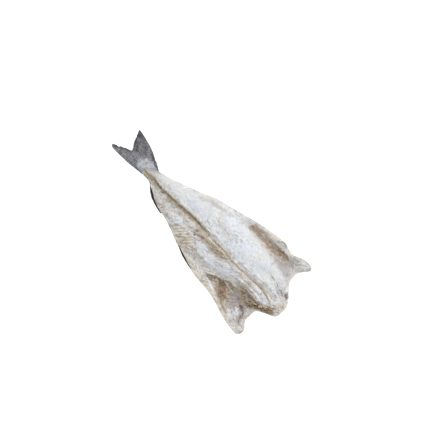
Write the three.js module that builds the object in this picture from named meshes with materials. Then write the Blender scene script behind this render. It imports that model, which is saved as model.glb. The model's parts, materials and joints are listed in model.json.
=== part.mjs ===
// A whole salted and dried cod, headed, split down the belly and opened flat, lying on its skin with the flesh up.
// Millimetres, +Z up. X runs from the tail fin (-X) to the nape (+X), Y runs across from the left belly flap (-Y)
// to the right one (+Y), and Z = 0 is the surface that the back's skin rests on.
// The fish is one piece, so it is one closed body: a grid of rows along the fish and columns across it gives the
// flesh side, the same grid lower down gives the skin side, and a narrow wall joins the two round the outline.
import * as THREE from "three";

const { smoothstep, lerp, clamp } = THREE.MathUtils;

// Driving dimensions. In the outline, x is measured from the tip of the longer tail lobe and y from the groove
// that the backbone left, before the whole body is centred on the origin. A swell adds `by` to an edge around `at`,
// and dies away `over` a distance.
const length = 636; // tail lobe tip to nape
const wrist = { x: 142, left: 20, right: 16, thickness: 13 }; // the narrow stalk before the tail fin
const lugX = 592; // where the collar bones end, at the widest place
const flare = { gain: 117, shape: 1.1 }; // what the half width gains from the wrist to the lugs
const leftSwells = [{ at: 195, by: 12, over: 36 }, { at: 474, by: -14, over: 64 }];
const rightSwells = [{ at: 300, by: 4, over: 30 }, { at: 545, by: -12, over: 24 }];

// The tail fin. Its right lobe stands well out, and its left one is folded along the axis.
const finThickness = 2.4;
const fork = { x: 53, across: 0.4 }; // the notch, and how far across the fin it lies
const leftLobe = { tipX: 3, gain: 8, blunting: 1.12, edgeCurve: 0.85, pinch: { at: 128, by: -2, over: 14 } };
const rightLobe = { tipX: 27, gain: 41, fullness: 0.9, edgeCurve: 1.25 };
const finLift = 6; // the dried fin stands this far off the surface
const finWarp = 7; // and its right lobe curls up by this much more

// The head end: the nape's block stands out from the flaps' ends, and a collar bone ends in a lug on each flap.
const flapEndX = 586;
const napeLeft = { at: -3, by: length - flapEndX, over: 42, squareness: 6 };
const napeRight = { at: -3, by: length - flapEndX, over: 46, squareness: 3 };
const lugs = [{ at: -119, by: 18, over: 17, squareness: 3 }, { at: 121, by: 20, over: 15, squareness: 3 }];
const collarBone = { gain: 4, width: 9, innerY: 62, fadeIn: 20 }; // the rib that stiffens each flap's end
const napeRounding = 26; // the cut end of the loins rounds off over this length
const napeEdge = 0.4; // down to this share of their thickness

// The back muscle, and the belly flaps outside it. Reaches are shares of the half width.
const loin = { thickness: 31, fullX: 500, buildUp: 0.85, squareness: 3.2, fullness: 0.8, tailReach: 1.04 };
const flap = { thickness: 6.2, rimGain: 3.2, rimAt: 0.94, rimWidth: 0.05 };
const flapCurl = { left: 13, right: 19, innerReach: 0.55, shape: 1.6 }; // how far the flaps' edges rise
const edgeShare = 0.45; // of the thickness beside it that is left at the outline

// The groove that the backbone left, and the hollows where the belly's lining is bare.
const groove = { from: 108, to: 606, fade: 60, depth: 7, width: 6.5, tailY: -9, headY: -3 };
const leftCavity = { from: 420, to: 500, inner: 0.43, outer: 0.9, depth: 2.6 };
const rightCavity = { from: 405, to: 470, inner: 0.63, outer: 0.86, depth: 2.2 };

// Mesh density: rows along the fish and columns across it, both drawn closer together at the ends,
// and the columns at the groove too.
const rows = 62;
const columns = 32;
const rowCrowding = 0.06;
const columnCrowding = 0.07;

// A soft bump of height 1 at `at`, falling away over `over`. A higher squareness gives it a flatter top.
const bump = (value, { at, over, squareness = 2 }) => Math.exp(-(Math.abs((value - at) / over) ** squareness));

// What a list of swells adds at a place.
const swollen = (value, swells) => swells.reduce((sum, swell) => sum + swell.by * bump(value, swell), 0);

// A quarter of a sine wave, from 0 to 1.
const quarterSine = (share) => Math.sin((Math.min(share, 1) * Math.PI) / 2);

// Half width of the body on either side, by station. It opens from the wrist like a quarter sine wave. Near the tail
// the left flank bulges, and in front of each flap the outline is a little hollow before the collar bone spreads it.
function bodyHalfWidth(x, side) {
  const opening = flare.gain * quarterSine(clamp((x - wrist.x) / (lugX - wrist.x), 0, 1)) ** flare.shape;
  return side < 0
    ? wrist.left + opening + swollen(x, leftSwells)
    : wrist.right + opening + swollen(x, rightSwells);
}

// Half width of the tail fin on either side, by station.
function finHalfWidth(x, side) {
  const beforeWrist = clamp((wrist.x - x) / (wrist.x - rightLobe.tipX), 0, 1.2);
  return side < 0
    ? wrist.left + swollen(x, [leftLobe.pinch]) + leftLobe.gain * smoothstep(beforeWrist, 0.15, 1)
    : wrist.right + rightLobe.gain * quarterSine(beforeWrist) ** rightLobe.fullness;
}

const halfWidth = (x, side) => (x < wrist.x ? finHalfWidth(x, side) : bodyHalfWidth(x, side));

// The y of the point a share `across` of the way from the left edge (0) to the right edge (1).
const sideways = (x, across) => lerp(-halfWidth(x, -1), halfWidth(x, 1), across);

// The forked trailing edge of the tail fin, as x by share across: a blunt left lobe, a pointed right one and a notch.
function finEnd(across) {
  if (across < fork.across) {
    const toTip = Math.min(1, leftLobe.blunting * (1 - across / fork.across));
    return lerp(fork.x, leftLobe.tipX, toTip ** leftLobe.edgeCurve);
  }
  const toTip = (across - fork.across) / (1 - fork.across);
  return lerp(fork.x, rightLobe.tipX, toTip ** rightLobe.edgeCurve);
}

// The head end, as x by y.
const headEnd = (y) => flapEndX + swollen(y, [y < napeLeft.at ? napeLeft : napeRight, ...lugs]);

// Everything about a place on the fish that the surfaces need: where it is, which side, and how far out it lies.
function place(along, across) {
  const end = headEnd(sideways(lugX, across));
  const x = lerp(finEnd(across), end, along);
  const y = sideways(x, across);
  const side = y < 0 ? -1 : 1;
  return { x, y, side, out: Math.min(1, Math.abs(y) / halfWidth(x, side)), toHeadEnd: end - x };
}

// Height of the skin over the surface. The back lies flat, the flaps rise towards their edges, and the fin is lifted.
function undersideHeight({ x, side, out }) {
  const curl = side < 0 ? flapCurl.left : flapCurl.right;
  const flaps = curl * smoothstep(x, 330, 570) * smoothstep(out, flapCurl.innerReach, 1) ** flapCurl.shape;
  const fin = (finLift + finWarp * Math.max(0, side * out) ** 1.5) * (1 - smoothstep(x, 70, 165));
  return flaps + fin;
}

// How deep the belly cavity's wall is sunk at a place, on the side that `cavity` describes.
function cavityDepth({ x, out }, cavity) {
  const lengthwise = smoothstep(x, cavity.from, cavity.to);
  const across = smoothstep(out, cavity.inner, cavity.inner + 0.12) * (1 - smoothstep(out, cavity.outer, 0.97));
  return cavity.depth * lengthwise * across;
}

// Depth of the backbone's groove at a place. It wanders a little to the left on its way to the tail.
function grooveDepth({ x, y }) {
  const at = lerp(groove.tailY, groove.headY, smoothstep(x, 150, 320));
  const starts = smoothstep(x, groove.from, groove.from + groove.fade);
  const ends = 1 - smoothstep(x, groove.to - groove.fade, groove.to);
  return groove.depth * starts * ends * bump(y, { at, over: groove.width });
}

// Thickness of the fish: loins on either side of the groove, thin flaps outside them, and a blade for the tail fin.
function thickness(spot) {
  const { x, y, side, out, toHeadEnd } = spot;
  const stalk = lerp(finThickness, wrist.thickness, smoothstep(x, 96, 158));
  const crown = lerp(stalk, loin.thickness, smoothstep(x, 120, loin.fullX) ** loin.buildUp);
  const thinnest = Math.min(stalk, flap.thickness);

  const cavity = side < 0 ? leftCavity : rightCavity;
  const loinReach = lerp(loin.tailReach, cavity.inner + 0.03, smoothstep(x, 250, 500));
  const muscle = Math.max(0, 1 - (out / loinReach) ** loin.squareness) ** loin.fullness;
  const rim = flap.rimGain * smoothstep(x, 300, 450) * bump(out, { at: flap.rimAt, over: flap.rimWidth });
  const bone = collarBone.gain * bump(toHeadEnd, { at: collarBone.width, over: collarBone.width })
    * smoothstep(Math.abs(y), collarBone.innerY, collarBone.innerY + collarBone.fadeIn);
  const body = thinnest + rim + (crown - thinnest) * muscle + bone;

  const atOutline = smoothstep(x, 150, 190) * smoothstep(out, 0.86, 1) ** 2;
  const fromCut = clamp(toHeadEnd / napeRounding, 0, 1);
  const cutEnd = lerp(napeEdge, 1, Math.sqrt(fromCut * (2 - fromCut)));
  return (body - grooveDepth(spot) - cavityDepth(spot, cavity)) * lerp(1, edgeShare, atOutline) * cutEnd;
}

// An even share from 0 to 1, moved so that neighbours lie closer at both ends; folds = 2 crowds the middle too.
const crowded = (share, amount, folds) => share - (amount * Math.sin(2 * Math.PI * folds * share)) / folds;

// The closed body's geometry: the flesh side, the skin side and the wall between them.
function fishGeometry() {
  const top = [];
  const under = [];
  for (let row = 0; row <= rows; row++) {
    for (let column = 0; column <= columns; column++) {
      const spot = place(crowded(row / rows, rowCrowding, 1), crowded(column / columns, columnCrowding, 2));
      const low = undersideHeight(spot);
      under.push(spot.x, spot.y, low);
      top.push(spot.x, spot.y, low + thickness(spot));
    }
  }

  const index = [];
  const perSide = (rows + 1) * (columns + 1);
  const at = (row, column) => row * (columns + 1) + column;
  for (let row = 0; row < rows; row++) {
    for (let column = 0; column < columns; column++) {
      const [a, b, c, d] = [at(row, column), at(row + 1, column), at(row + 1, column + 1), at(row, column + 1)];
      index.push(a, b, c, a, c, d);
      index.push(perSide + a, perSide + c, perSide + b, perSide + a, perSide + d, perSide + c);
    }
  }

  // The outline as a loop of grid corners, anticlockwise from above, and two triangles of wall for each step.
  const outline = [
    ...Array.from({ length: rows }, (_, k) => at(k, 0)),
    ...Array.from({ length: columns }, (_, k) => at(rows, k)),
    ...Array.from({ length: rows }, (_, k) => at(rows - k, columns)),
    ...Array.from({ length: columns }, (_, k) => at(0, columns - k)),
  ];
  outline.forEach((here, k) => {
    const next = outline[(k + 1) % outline.length];
    index.push(here, perSide + here, perSide + next, here, perSide + next, next);
  });

  const geometry = new THREE.BufferGeometry();
  geometry.setAttribute("position", new THREE.Float32BufferAttribute([...top, ...under], 3));
  geometry.setIndex(index);
  geometry.computeVertexNormals();
  geometry.computeBoundingBox();
  return geometry;
}

const driedFlesh = new THREE.MeshStandardMaterial({ color: 0xd9d8d4, roughness: 0.78, metalness: 0 });

const fish = new THREE.Mesh(fishGeometry(), driedFlesh);
fish.name = "salted_cod";
const middle = fish.geometry.boundingBox.getCenter(new THREE.Vector3());
fish.position.set(-middle.x, -middle.y, 0);

const part = new THREE.Group();
part.add(fish);

export default part;
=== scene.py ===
"""A whole salted and dried cod without its head, split down the belly and opened flat, flesh side up."""

import json
import math

import bmesh
import bpy
import numpy as np
from mathutils import Euler, Matrix, Vector
from mathutils.bvhtree import BVHTree

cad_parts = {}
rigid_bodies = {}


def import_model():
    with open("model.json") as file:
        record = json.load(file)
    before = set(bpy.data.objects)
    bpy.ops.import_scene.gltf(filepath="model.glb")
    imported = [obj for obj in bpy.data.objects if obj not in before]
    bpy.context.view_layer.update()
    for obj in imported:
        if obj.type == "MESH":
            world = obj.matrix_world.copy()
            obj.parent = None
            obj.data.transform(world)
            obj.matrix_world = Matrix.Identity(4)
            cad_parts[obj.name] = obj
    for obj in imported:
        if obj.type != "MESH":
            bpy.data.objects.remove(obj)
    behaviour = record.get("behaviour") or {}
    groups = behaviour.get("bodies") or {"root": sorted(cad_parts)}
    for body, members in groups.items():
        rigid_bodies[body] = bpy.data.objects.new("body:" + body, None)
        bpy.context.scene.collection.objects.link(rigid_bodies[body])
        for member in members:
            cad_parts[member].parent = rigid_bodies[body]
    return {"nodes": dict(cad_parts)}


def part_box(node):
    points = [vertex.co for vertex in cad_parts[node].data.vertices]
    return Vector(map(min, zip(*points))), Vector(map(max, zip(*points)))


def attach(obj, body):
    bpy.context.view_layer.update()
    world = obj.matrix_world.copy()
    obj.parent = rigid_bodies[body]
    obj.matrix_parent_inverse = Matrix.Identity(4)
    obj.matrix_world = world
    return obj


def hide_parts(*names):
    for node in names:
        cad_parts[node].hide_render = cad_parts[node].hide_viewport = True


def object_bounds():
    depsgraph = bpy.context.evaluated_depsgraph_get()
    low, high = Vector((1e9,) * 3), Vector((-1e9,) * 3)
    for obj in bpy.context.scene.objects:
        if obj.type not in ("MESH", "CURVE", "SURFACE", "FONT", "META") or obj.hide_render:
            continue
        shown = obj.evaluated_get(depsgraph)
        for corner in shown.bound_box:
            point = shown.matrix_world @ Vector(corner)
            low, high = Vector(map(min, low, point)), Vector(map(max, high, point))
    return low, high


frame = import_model()
cad_low, cad_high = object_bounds()
bpy.ops.object.select_all(action="DESELECT")

# ---- The table and the light --------------------------------------------------------------------
# A white table top that glows a little, so that the fish hardly throws a shadow on it. A broad soft lamp
# stands on the fish's right and a weaker one on its left, and pale light comes from all round. The camera
# hangs over the fish and looks straight down, with the fish lying aslant.

CAMERA_TURN = math.radians(46)
CAMERA_OVER = Vector((0.0262, 0.0438, 0))
VIEW_HEIGHT = 1.166  # metres of table from the frame's top to its bottom
LENS, SENSOR = 85, 36
TABLE_SIZE = 40
TABLE_GLOW = 0.65


def white_table():
    bpy.ops.mesh.primitive_plane_add(size=TABLE_SIZE, location=(0, 0, -0.0002))
    table = bpy.context.object
    table.name = "table_top"
    material = bpy.data.materials.new("white table")
    material.use_nodes = True
    surface = material.node_tree.nodes["Principled BSDF"]
    surface.inputs["Base Color"].default_value = (0.9, 0.9, 0.9, 1)
    surface.inputs["Roughness"].default_value = 0.9
    surface.inputs["Specular IOR Level"].default_value = 0.1
    surface.inputs["Emission Color"].default_value = (1, 1, 1, 1)
    surface.inputs["Emission Strength"].default_value = TABLE_GLOW
    table.data.materials.append(material)


def soft_lamp(name, place, size, watts):
    lamp = bpy.data.lights.new(name, "AREA")
    lamp.shape = "DISK"
    lamp.size = size
    lamp.energy = watts
    holder = bpy.data.objects.new(name, lamp)
    holder.location = place
    holder.rotation_euler = (-Vector(place)).to_track_quat("-Z", "Y").to_euler()
    bpy.context.collection.objects.link(holder)


def pale_room(strength):
    world = bpy.data.worlds.new("pale room")
    bpy.context.scene.world = world
    world.use_nodes = True
    world.node_tree.nodes["Background"].inputs["Color"].default_value = (1, 1, 1, 1)
    world.node_tree.nodes["Background"].inputs["Strength"].default_value = strength


def hanging_camera():
    lens = bpy.data.cameras.new("camera")
    lens.lens = LENS
    lens.sensor_width = SENSOR
    camera = bpy.data.objects.new("camera", lens)
    camera.location = CAMERA_OVER + Vector((0, 0, VIEW_HEIGHT * LENS / SENSOR + (cad_low.z + cad_high.z) / 2))
    camera.rotation_euler = (0, 0, CAMERA_TURN)
    bpy.context.collection.objects.link(camera)
    bpy.context.scene.camera = camera


white_table()
soft_lamp("key lamp", (0.4, 1.8, 1.5), 0.8, 31)
soft_lamp("fill lamp", (-0.8, -1.2, 1.9), 1.6, 13)
pale_room(0.49)
hanging_camera()
bpy.context.scene.view_settings.view_transform = "Standard"

# ---- The flesh ----------------------------------------------------------------------------------
# The split body, salted and pressed until it is stiff: two loins with the groove where most of the backbone
# was cut out, and thin belly flaps with bare brown lining. The CAD solid gives its form, and what the knife,
# the salt and the drying did is worked into its surface.

TAIL_TIP = 3.0  # the station of the tail fin's tip: x counts millimetres from there to the nape at 636
GROOVE_LINE = 1.8  # millimetres from the frame's middle to y = 0, the line of the groove
MM = 0.001
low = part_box("salted_cod")[0]  # the solid's lowest corner
FLESH_LIFT = 1.2  # the skin under the flesh takes up this much


def to_frame(x, y, z):
    """Places on the fish, in its own millimetres, as metres in the frame."""
    return np.stack([low.x + (x - TAIL_TIP) * MM, (y + GROOVE_LINE) * MM, z * MM], axis=-1)


def field(u, v, seed):
    """A smooth random field between -1 and 1, with one cell per unit of u and of v."""
    table = np.random.default_rng(seed).uniform(-1, 1, (128, 128))
    i, j = np.floor(u).astype(int), np.floor(v).astype(int)
    s, t = u - i, v - j
    s, t = s * s * (3 - 2 * s), t * t * (3 - 2 * t)
    near = table[i % 128, j % 128] * (1 - t) + table[i % 128, (j + 1) % 128] * t
    far = table[(i + 1) % 128, j % 128] * (1 - t) + table[(i + 1) % 128, (j + 1) % 128] * t
    return near * (1 - s) + far * s


def rough(u, v, seed, octaves=3):
    """Fields laid on each other, each half as large and half as strong as the one before."""
    return sum(field(u * 2**k, v * 2**k, seed + k) / 2**k for k in range(octaves)) / 1.75


def eased(value, start, end):
    """0 before start and 1 after end, with a soft change between."""
    t = np.clip((value - start) / (end - start), 0, 1)
    return t * t * (3 - 2 * t)


def smooth_line(points, steps=6):
    """A smooth line through given points."""
    p = np.array(points, float)
    p = np.vstack([2 * p[0] - p[1], p, 2 * p[-1] - p[-2]])
    t = np.linspace(0, 1, steps, endpoint=False)[:, None]
    spans = [
        b + 0.5 * t * (c - a + t * (2 * a - 5 * b + 4 * c - d + t * (3 * (b - c) + d - a)))
        for a, b, c, d in zip(p, p[1:], p[2:], p[3:])
    ]
    return np.vstack([*spans, p[-2:-1]])


def from_line(line, x, y):
    """Each place's distance from a line, negative on its right, and how far along the line it is, 0 to 1."""
    nearest = np.full(len(x), 1e6)
    share = np.zeros(len(x))
    for k, (a, b) in enumerate(zip(line, line[1:])):
        span = b - a
        t = np.clip(((x - a[0]) * span[0] + (y - a[1]) * span[1]) / (span @ span), 0, 1)
        dx, dy = x - a[0] - t * span[0], y - a[1] - t * span[1]
        distance = np.hypot(dx, dy)
        side = np.where(span[0] * dy - span[1] * dx < 0, -1, 1)
        closer = distance < np.abs(nearest)
        nearest[closer] = (distance * side)[closer]
        share[closer] = ((k + t) / (len(line) - 1))[closer]
    return nearest, share


def of_vertices(mesh, what):
    """What the vertices of a mesh hold under a name, such as their places, in rows of three."""
    values = np.zeros(len(mesh.vertices) * 3)
    mesh.vertices.foreach_get(what, values)
    return values.reshape(-1, 3)


def set_attribute(mesh, name, values):
    attribute = mesh.attributes.new(name, "FLOAT", "POINT")
    attribute.data.foreach_set("value", values.astype(np.float32))


class Canvas:
    """The vertices of a piece, in the fish's own millimetres, for strokes and patches to be laid on."""

    def __init__(self, mesh):
        places = of_vertices(mesh, "co")
        self.mesh = mesh
        self.x = (places[:, 0] - low.x) / MM + TAIL_TIP
        self.y = places[:, 1] / MM - GROOVE_LINE
        self.z = places[:, 2] / MM

    def near(self, line, reach):
        """Which vertices can lie within reach of a line."""
        (x0, y0), (x1, y1) = line.min(0) - reach, line.max(0) + reach
        return np.flatnonzero((self.x > x0) & (self.x < x1) & (self.y > y0) & (self.y < y1))

    def stroke(self, width, points, wobble=0.3):
        """1 along a line, falling to 0 at `width` to either side, with a wandering edge and thinner ends."""
        line = smooth_line(points)
        here = self.near(line, width * 2)
        x, y = self.x[here], self.y[here]
        shift = wobble * width
        x, y = x + shift * rough(x / 7, y / 7, 3), y + shift * rough(x / 7, y / 7, 9)
        distance, share = from_line(line, x, y)
        reach = width * np.clip(np.sin(np.pi * share), 0.04, 1) ** 0.4
        strength = np.zeros(len(self.x))
        strength[here] = 1 - eased(np.abs(distance) / reach, 0, 1)
        return strength

    def patch(self, softness, points, wobble=3):
        """1 inside a closed outline, fading to 0 over `softness` round its edge, which wanders."""
        outline = smooth_line([*points, points[0]])
        here = self.near(outline, softness + 2 * wobble)
        x, y = self.x[here], self.y[here]
        x, y = x + wobble * rough(x / 8, y / 8, 5), y + wobble * rough(x / 8, y / 8, 15)
        inside = np.zeros(len(here), bool)
        for a, b in zip(outline, outline[1:]):
            crosses = (a[1] > y) != (b[1] > y)
            rise = b[1] - a[1] if b[1] != a[1] else 1.0
            inside ^= crosses & (x < a[0] + (y - a[1]) * (b[0] - a[0]) / rise)
        distance, _ = from_line(outline, x, y)
        depth = np.where(inside, np.abs(distance), -np.abs(distance))
        strength = np.zeros(len(self.x))
        strength[here] = eased(depth, -softness / 2, softness / 2)
        return strength

    def paint(self, name, strokes=(), patches=(), masks=(), grit=0.0):
        """Saves the strongest of some layers as an attribute that the material reads. They are strokes as
        (strength, width, wobble, line), patches as (strength, softness, wobble, outline) and masks as
        (strength, mask)."""
        layers = [(strength, self.stroke(width, line, wobble)) for strength, width, wobble, line in strokes]
        for strength, softness, wobble, outline in patches:
            layers.append((strength, self.patch(softness, outline, wobble)))
        value = np.zeros(len(self.x))
        for strength, mask in [*layers, *masks]:
            value = np.maximum(value, strength * mask)
        value = np.clip(value * (1 + grit * rough(self.x / 8, self.y / 5, 17)), 0, 1)
        set_attribute(self.mesh, name, value)

    def reshape(self):
        """Writes the places back to the mesh."""
        self.mesh.vertices.foreach_set("co", to_frame(self.x, self.y, self.z).ravel())
        self.mesh.update()


def edit(piece):
    """Opens a piece, and nothing else, in edit mode with all of it selected."""
    bpy.ops.object.select_all(action="DESELECT")
    piece.select_set(True)
    bpy.context.view_layer.objects.active = piece
    bpy.ops.object.mode_set(mode="EDIT")
    bpy.ops.mesh.select_all(action="SELECT")


def select_faces(wanted):
    """Selects the faces of the open piece for which wanted(face) holds, and no others."""
    shape = bmesh.from_edit_mesh(bpy.context.object.data)
    for face in shape.faces:
        face.select = wanted(face)
    shape.select_flush_mode()
    bmesh.update_edit_mesh(bpy.context.object.data)


def cut_away(place, normal, closed):
    """Cuts the open piece along an upright plane and drops what lies behind it."""
    bpy.ops.mesh.select_all(action="SELECT")
    origin = to_frame(*np.array([*place, 0.0])[:, None])[0]
    bpy.ops.mesh.bisect(plane_co=origin, plane_no=(*normal, 0), clear_inner=True, use_fill=closed)


def copy_of_solid(name):
    """A new piece with the CAD solid's shape, its loose triangles joined, open in edit mode."""
    piece = bpy.data.objects.new(name, frame["nodes"]["salted_cod"].data.copy())
    piece.data.materials.clear()
    bpy.context.collection.objects.link(piece)
    edit(piece)
    bpy.ops.mesh.remove_doubles(threshold=2e-5)
    return piece


TONGUE_TIP = (104, -5)
TONGUE_CUTS = [(0.515, -0.858), (0.79, 0.61)]  # each cut's direction, square to it, into the flesh


def closed_form(name):
    """The CAD solid without its tail fin: cut to a tongue that points to the tail, with a fine flesh side."""
    piece = copy_of_solid(name)
    for normal in TONGUE_CUTS:
        cut_away(TONGUE_TIP, normal, closed=True)
    select_faces(lambda face: face.normal.z > -0.5)
    bpy.ops.mesh.subdivide(number_cuts=5)
    select_faces(lambda face: face.normal.z > 0.3)
    bpy.ops.mesh.select_less()
    bpy.ops.mesh.vertices_smooth(factor=0.5, repeat=34, xaxis=False, yaxis=False)
    select_faces(lambda face: face.normal.z > -0.5)
    bpy.ops.mesh.vertices_smooth(factor=0.5, repeat=5)
    bpy.ops.object.mode_set(mode="OBJECT")
    return piece


flesh = closed_form("flesh")
canvas = Canvas(flesh.data)
facing = of_vertices(flesh.data, "normal")[:, 2]  # 1 straight up and -1 straight down
up = np.clip(facing * 1.4, 0, 1)
x, y = canvas.x.copy(), canvas.y.copy()

GROOVE = [(112, -4), (130, -3), (143, -5), (155, -8), (167, -10.5), (185, -10.2), (205, -9.6), (230, -8.2),
          (250, -6.4), (270, -4.2), (290, -3), (305, -2.5), (320, -2.5), (332, -4), (345, -4.5), (358, -4)]
FAR_GROOVE = [(356, -5), (380, -6), (400, -6.5), (420, -6), (440, -9), (460, -9), (480, -8), (500, -6.5),
              (520, -5.5), (545, -4), (570, -6), (585, -11), (600, -16)]
RIGHT_CORD = [(488, 0), (500, 1.5), (515, 3), (535, 4.5), (552, 4.5), (566, 2), (580, -4), (592, -10),
              (604, -15)]
MIDDLE_CORD = [(452, -16), (480, -16), (505, -14), (525, -12), (545, -12), (562, -13.5), (580, -16),
               (594, -19)]
LEFT_CORD = [(470, -35), (488, -30), (505, -27), (525, -25), (545, -25.5), (565, -27), (588, -28)]
LOIN_EDGE = [(424, -81), (432, -75), (444, -68), (460, -61), (474, -54), (488, -50.5), (502, -49.5),
             (512, -44), (524, -38), (542, -35), (560, -35), (584, -33)]
FLAP_EDGE = [(426, -83), (438, -87), (452, -90), (468, -93), (486, -99), (504, -107), (522, -114),
             (545, -118), (570, -119)]
LEFT_COLLAR = [(566, -58), (572, -72), (575, -88), (578, -102), (584, -116), (588, -127)]
RIGHT_COLLAR = [(582, 52), (580, 66), (577, 80), (574, 92), (580, 104), (590, 114), (598, 122)]
RIGHT_FOLD = [(480, 107), (500, 107), (525, 108), (548, 106), (560, 105), (568, 99), (573, 91)]
RIGHT_FURROW = [(262, 42), (280, 47), (298, 54), (318, 60), (338, 65), (354, 70)]
LEFT_FURROW = [(312, -73), (322, -68), (331, -62), (348, -58.5), (364, -60), (380, -61)]
LEFT_CURL = [(372, -59), (392, -57), (412, -60), (428, -66), (434, -73)]
STRIP = [(412, 86), (425, 84), (460, 84), (480, 84), (503, 82), (520, 82), (536, 85), (548, 92), (549, 104),
         (522, 108), (500, 106), (470, 106), (440, 107), (420, 104)]
CAVITY = [(425, -82), (440, -71), (460, -62.5), (475, -55), (500, -51), (516, -41), (545, -37), (578, -38),
          (576, -56), (568, -70), (570, -90), (577, -112), (565, -117), (540, -116), (515, -110),
          (492, -100), (470, -93), (448, -88)]

# Relief, as (height, width, line): the cords and folds stand up, the furrows and cuts go down.
RELIEF = [
    (-0.7, 4.0, GROOVE),
    (2.3, 8.0, [(a, b + 5.5) for a, b in GROOVE[3:]]),
    (1.2, 5.0, [(a, b - 7) for a, b in GROOVE[3:]]),
    (-0.9, 3.0, FAR_GROOVE),
    (1.3, 7.0, [(a, b + 5) for a, b in FAR_GROOVE]),
    (2.0, 4.6, RIGHT_CORD),
    (2.0, 9.0, [(478, 5), (510, 9), (545, 11), (572, 6), (592, -2)]),
    (1.5, 4.6, MIDDLE_CORD),
    (2.2, 5.4, LEFT_CORD),
    (-0.9, 2.0, [(500, -22), (520, -20), (545, -19.5), (578, -22)]),
    (1.6, 5.0, LOIN_EDGE),
    (1.7, 5.0, FLAP_EDGE),
    (2.4, 5.5, LEFT_COLLAR),
    (2.0, 6.0, RIGHT_COLLAR),
    (1.3, 5.0, RIGHT_FOLD),
    (1.3, 5.0, [(556, 105), (570, 110), (582, 119), (594, 125)]),
    (-1.0, 3.0, [(560, 112), (568, 113), (577, 118), (583, 124)]),
    (-0.9, 3.0, [(560, 101), (568, 94), (571, 86)]),
    (-1.1, 7.0, RIGHT_FURROW),
    (0.8, 8.0, [(a - 2, b + 8) for a, b in RIGHT_FURROW]),
    (-1.3, 3.4, LEFT_FURROW),
    (1.2, 5.0, [(a, b - 6) for a, b in LEFT_FURROW]),
    (1.4, 5.0, LEFT_CURL),
    (-1.0, 3.0, [(a, b - 5) for a, b in LEFT_CURL]),
    (-1.4, 4.0, [(430, -84), (446, -85), (462, -89)]),
    (-0.9, 2.4, [(530, 42), (552, 38), (574, 34), (592, 27), (606, 21)]),
    (-0.8, 2.6, [(575, 36), (590, 33), (604, 30)]),
    (1.3, 4.0, [(584, 24), (598, 19), (608, 15)]),
    (-2.0, 4.5, [(610, 33), (614, 30), (616, 25)]),
    (-1.6, 4.5, [(540, -41), (552, -38), (562, -36)]),
    (1.1, 4.0, [(545, -46), (558, -44), (572, -45)]),
    (1.6, 3.0, [(572, -43), (586, -38), (600, -30), (610, -22)]),
    (1.5, 2.6, [(570, -49), (584, -46), (596, -41)]),
    (-1.8, 2.4, [(570, -46), (584, -42), (596, -36), (608, -28)]),
    (1.4, 3.2, [(352, -10), (368, -11), (384, -9.5), (400, -12), (416, -10), (430, -6), (438, -11),
                (446, -13)]),
    (-1.3, 6.0, [(326, -29), (340, -27), (352, -22)]),
    (-1.2, 5.0, [(386, -20), (402, -22), (418, -18)]),
    (1.2, 7.0, [(546, -94), (556, -98), (562, -92), (554, -86)]),
    (-2.0, 5.0, [(547, -79), (556, -77), (563, -80)]),
    (2.2, 6.0, [(494, 118), (508, 122), (524, 119)]),
    (1.0, 3.5, [(431, -88), (446, -92), (462, -97)]),
]
lift = sum(height * canvas.stroke(width, line, wobble=0.22) for height, width, line in RELIEF)

# The wall of the belly is thinner than the loin and the rim round it, with the ribs showing as slanted bars.
hollow = canvas.patch(5, CAVITY, wobble=1.5)
strip = canvas.patch(6, STRIP, wobble=2.5)
ribs_left = np.sin((x * 0.78 + y * 0.62 + 5 * rough(x / 26, y / 26, 21)) * 2 * np.pi / 11.5)
ribs_right = np.sin((x * 0.95 - y * 0.3 + 6 * rough(x / 20, y / 20, 25)) * 2 * np.pi / 14)
lift -= hollow * (1.5 - 0.55 * ribs_left) + strip * (0.8 - 0.35 * ribs_right)

# Rib creases run in a fan from the left edge up to the loin, and fainter ones on the right.
fan_left = canvas.patch(18, [(252, -46), (276, -42), (306, -37), (330, -42), (340, -54), (318, -74),
                             (282, -68), (254, -60)], wobble=6)
bars = (x * 0.74 - y * 0.67 + 3 * rough(x / 18, y / 18, 31)) / 8.2
lift += 1.1 * fan_left * np.abs(np.sin(np.pi * bars)) ** 0.7 - 0.5 * fan_left
fan_right = canvas.patch(16, [(256, 44), (290, 54), (330, 64), (352, 72), (330, 84), (288, 74), (262, 60)])
lift += 0.6 * fan_right * np.abs(np.sin(np.pi * (x * 0.85 - y * 0.5) / 6.5))
streaks = (x * 0.83 + y * 0.55 + 3 * rough(x / 14, y / 14, 33)) / 7.4
streaks = np.abs(np.sin(np.pi * streaks))
diagonal = canvas.patch(14, [(448, -70), (478, -58), (520, -46), (552, -56), (560, -76), (540, -104),
                             (500, -102), (470, -90)])
lift += diagonal * (0.9 * streaks - 0.4)

# The muscle's blocks meet in faint slanted lines, and drying has puckered it all, more so on the left side.
block = (x + 0.495 * (y + 4) + 7 * rough(x / 45, y / 45, 51)) / 13
on_loin = np.clip(1 - hollow - strip, 0, 1) * eased(x, 150, 200)
lift -= 0.34 * on_loin * (1 - np.abs(np.sin(np.pi * block))) ** 5
coarse = 0.8 * rough(x / 48, y / 30, 61) + 0.55 * rough(x / 19, y / 12, 71)
left_side = eased(-y, -4, 14)
worked = np.maximum(0.9 * left_side, canvas.patch(28, [(312, 20), (336, 46), (372, 60), (420, 58),
                                                       (440, 40), (430, 14), (380, 4), (330, 4)], wobble=5))
worked = np.maximum(worked, 0.7 * canvas.patch(24, [(560, 12), (540, 34), (570, 52), (600, 44), (616, 26),
                                                    (600, 8)]))
swirl = 0.8 * rough(x / 17, y / 17, 141)
forward, sideways = x * 0.8 + y * 0.6, y * 0.8 - x * 0.6


def creased(u, v, seed):
    """Sharp crests with hollows between them, running along u."""
    return 1 - np.abs(rough(u + swirl, v - swirl, seed, 3)) * 2.4


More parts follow.
